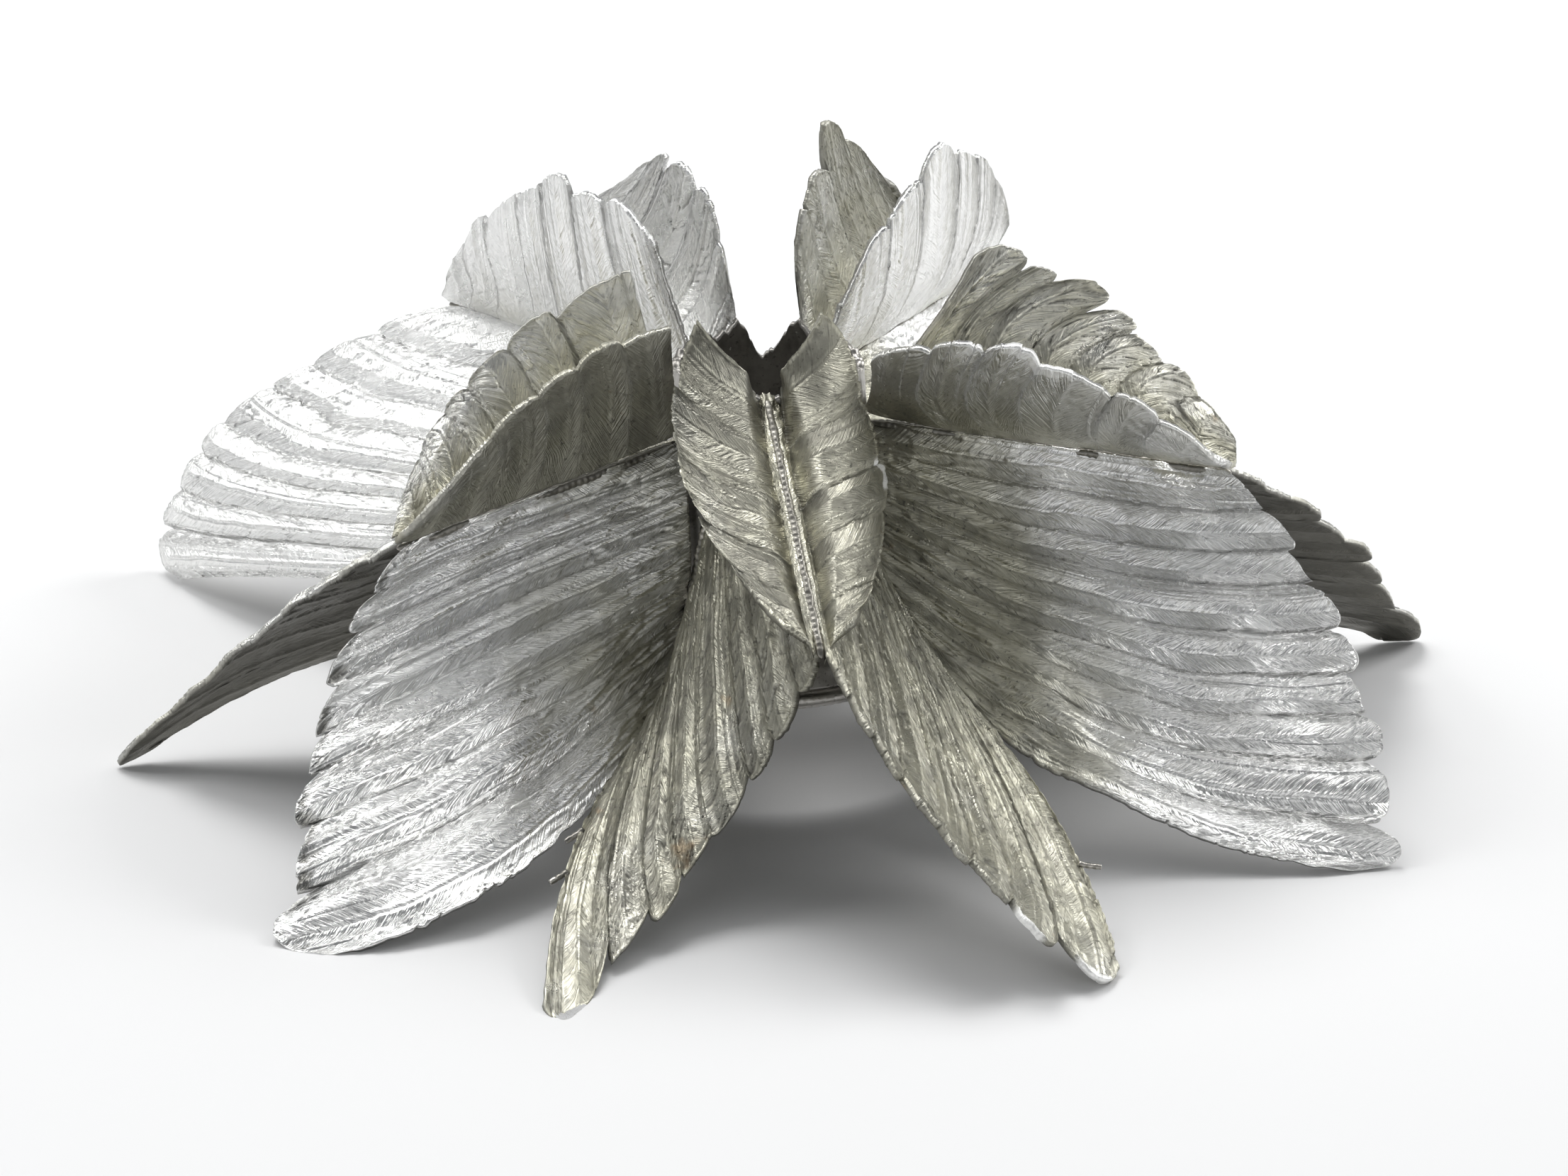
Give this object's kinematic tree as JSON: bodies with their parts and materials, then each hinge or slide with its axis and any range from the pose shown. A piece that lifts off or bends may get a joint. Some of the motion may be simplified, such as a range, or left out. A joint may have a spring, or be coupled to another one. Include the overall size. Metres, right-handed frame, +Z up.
{
  "type": "feathered wing centrepiece",
  "caption": "Free-standing cast metal centrepiece of long feathered wings on their tips, carrying troughs of short wings round an open throat.",
  "frame": {"origin": "middle of the footprint, on the table", "axes": "+Z up; -Y is the front, where the front trough opens; +X to the viewer's right"},
  "size_m": [0.4294, 0.3986, 0.1856],
  "materials": {
    "wing_metal": "bright cast, lightly brushed",
    "throat_metal": "dull cast",
    "weld_metal": "as welded"
  },
  "bodies": {
    "root": {"keel_weld_backleft": "weld_metal", "keel_weld_backright": "weld_metal", "keel_weld_front": "weld_metal", "keel_weld_left": "weld_metal", "keel_weld_right": "weld_metal", "lower_wing_backleft_inner": "wing_metal", "lower_wing_backleft_outer": "wing_metal", "lower_wing_backright_inner": "wing_metal", "lower_wing_backright_outer": "wing_metal", "lower_wing_front_left": "wing_metal", "lower_wing_front_right": "wing_metal", "lower_wing_left_back": "wing_metal", "lower_wing_left_front": "wing_metal", "lower_wing_right_back": "wing_metal", "lower_wing_right_front": "wing_metal", "skirt_weld_ring": "throat_metal", "sprue_stub_a": "weld_metal", "sprue_stub_b": "weld_metal", "sprue_stub_c": "weld_metal", "throat_collar": "throat_metal", "upper_wing_backleft_inner": "wing_metal", "upper_wing_backleft_outer": "wing_metal", "upper_wing_backright_inner": "wing_metal", "upper_wing_backright_outer": "wing_metal", "upper_wing_front_left": "wing_metal", "upper_wing_front_right": "wing_metal", "upper_wing_left_back": "wing_metal", "upper_wing_left_front": "wing_metal", "upper_wing_right_back": "wing_metal", "upper_wing_right_front": "wing_metal", "valley_weld_back": "weld_metal", "valley_weld_frontleft": "weld_metal", "valley_weld_frontright": "weld_metal", "valley_weld_left": "weld_metal", "valley_weld_right": "weld_metal"}
  },
  "joints": []
}
